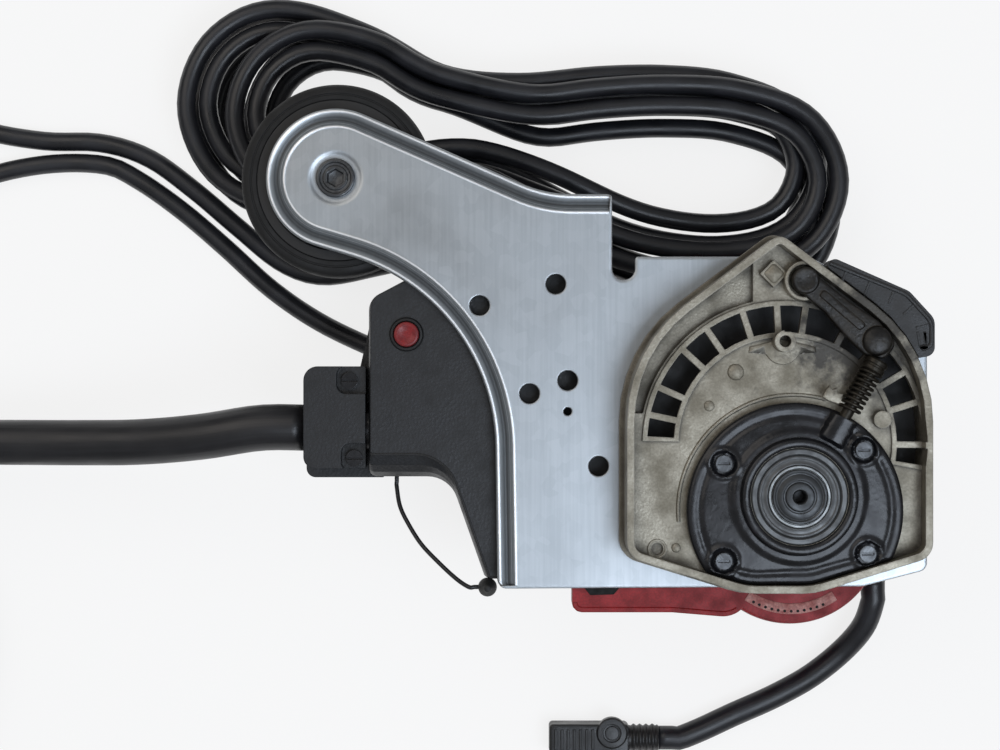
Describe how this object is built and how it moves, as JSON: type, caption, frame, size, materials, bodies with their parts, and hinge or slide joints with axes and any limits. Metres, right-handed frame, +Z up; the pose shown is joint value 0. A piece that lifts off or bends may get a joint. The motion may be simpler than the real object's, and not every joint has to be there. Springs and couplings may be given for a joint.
{
  "type": "rotary tool with flex shaft",
  "caption": "Motor head on a pressed steel plate with open gear case, bearing and spindle, switch handle, guide wheel, sheathed flexible shaft with handpiece and hanked mains cord.",
  "frame": {"origin": "where the spindle's axis meets the plane that the motor's flat end stands on", "axes": "+Z up along the spindle's axis, out of its nose; -X along the plate towards the switch handle and the flexible shaft; +Y towards the arm with the guide wheel"},
  "size_m": [0.6626, 0.4476, 0.1255],
  "materials": {
    "galvanised_sheet": "galvanised, satin",
    "zinc_steel": "zinc plated",
    "screw_steel": "plain steel screw",
    "bearing_steel": "ground and polished",
    "spindle_steel": "turned steel, lightly oiled",
    "gear_steel": "hardened steel",
    "spring_steel": "spring wire",
    "brushed_metal": "turned and brushed",
    "cast_metal": "die cast, blasted",
    "black_metal": "black coating, satin",
    "bronze": "sintered bronze",
    "brass": "plain brass",
    "copper": "enamelled and bare copper",
    "armature_iron": "stacked sheet iron",
    "core_iron": "stacked sheet iron",
    "carbon": "pressed carbon",
    "fan_plastic": "moulded",
    "red_housing": "moulded, satin gloss",
    "black_plastic": "moulded, matt",
    "handle_plastic": "moulded, finely grained",
    "trigger_plastic": "moulded, ribbed",
    "switch_plastic": "moulded",
    "red_button": "moulded, glossy",
    "wheel_plastic": "glass-filled",
    "tyre_rubber": "smooth rubber",
    "gasket_rubber": "moulded rubber",
    "seal_rubber": "moulded seal",
    "sheath_rubber": "smooth rubber",
    "cord_rubber": "rubber sheathed"
  },
  "bodies": {
    "frame": {"carrier_plate": "galvanised_sheet", "weld_nuts": "zinc_steel", "gear_case": "cast_metal", "case_gasket": "gasket_rubber", "case_screws": "zinc_steel", "bearing_cover": "black_metal", "cover_screws": "screw_steel", "bearing_outer_ring": "bearing_steel", "bearing_seal": "seal_rubber", "spindle_bush": "bronze", "upper_bearing": "bearing_steel", "lower_bearing": "bearing_steel", "field_core": "core_iron", "field_coils": "copper", "carbon_brushes": "carbon", "brush_holders": "brass", "motor_housing": "red_housing", "end_cap": "red_housing", "end_cap_screws": "zinc_steel", "air_baffle": "black_plastic", "handle_front": "handle_plastic", "handle_rear": "handle_plastic", "clamp_cap": "handle_plastic", "clamp_screws": "black_metal", "switch_body": "switch_plastic", "wire_guard": "black_metal", "guard_grommet": "gasket_rubber", "wheel_axle": "zinc_steel", "axle_screw": "screw_steel", "sheath_ferrule": "black_metal", "shaft_sheath": "sheath_rubber", "shaft_coil": "sheath_rubber", "handpiece": "brushed_metal", "handpiece_grip": "sheath_rubber", "cord_gland": "gasket_rubber", "cord_feed": "cord_rubber", "cord_hank": "cord_rubber", "cord_tail": "cord_rubber", "mains_plug": "cord_rubber", "plug_pins": "brass", "lead_gland": "gasket_rubber", "control_lead": "cord_rubber", "lead_connector": "switch_plastic"},
    "armature": {"armature": "armature_iron", "commutator": "copper", "cooling_fan": "fan_plastic"},
    "spindle": {"spindle": "spindle_steel", "spindle_gear": "gear_steel", "bearing_inner_ring": "bearing_steel", "bearing_balls": "bearing_steel"},
    "wheel": {"wheel_hub": "wheel_plastic", "wheel_tyre": "tyre_rubber"},
    "lock_button": {"lock_button": "red_button"},
    "trigger": {"trigger": "trigger_plastic"},
    "lock_lever": {"lock_lever": "black_metal"},
    "lock_plunger": {"lock_plunger": "spindle_steel", "lock_spring": "spring_steel"},
    "chuck": {"handpiece_chuck": "brushed_metal"}
  },
  "joints": [
    {"name": "armature_spin", "type": "hinge", "parent": "frame", "child": "armature", "pos_m": [0, -0.016, 0], "axis": [0, 0, 1], "continuous": true},
    {"name": "spindle_spin", "type": "hinge", "parent": "frame", "child": "spindle", "pos_m": [0, 0, 0], "axis": [0, 0, 1], "continuous": true},
    {"name": "wheel_spin", "type": "hinge", "parent": "frame", "child": "wheel", "pos_m": [-0.1915, 0.1325, 0], "axis": [0, 0, 1], "continuous": true},
    {"name": "lock_button_slide", "type": "slide", "parent": "frame", "child": "lock_button", "axis": [0, 0, -1], "range_m": [0, 0.0025], "stiffness_N_per_m": 300},
    {"name": "trigger_hinge", "type": "hinge", "parent": "frame", "child": "trigger", "pos_m": [-0.1325, 0.014, 0], "axis": [0, 0, 1], "range_deg": [0, 8], "stiffness_Nm_per_rad": 1},
    {"name": "lock_lever_hinge", "type": "hinge", "parent": "frame", "child": "lock_lever", "pos_m": [0.0025, 0.0885, 0], "axis": [0, 0, -1], "range_deg": [0, 7]},
    {"name": "lock_plunger_slide", "type": "slide", "parent": "frame", "child": "lock_plunger", "axis": [-0.5, -0.866, 0], "range_m": [0, 0.005]},
    {"name": "chuck_spin", "type": "hinge", "parent": "frame", "child": "chuck", "pos_m": [-0.475, -0.20075, 0.01], "axis": [0.9877, -0.1561, 0], "continuous": true}
  ],
  "couplings": [
    {"joint": "spindle_spin", "follows": "armature_spin", "ratio": -0.33333},
    {"joint": "lock_plunger_slide", "follows": "lock_lever_hinge", "m_per_rad": 0.0406}
  ]
}
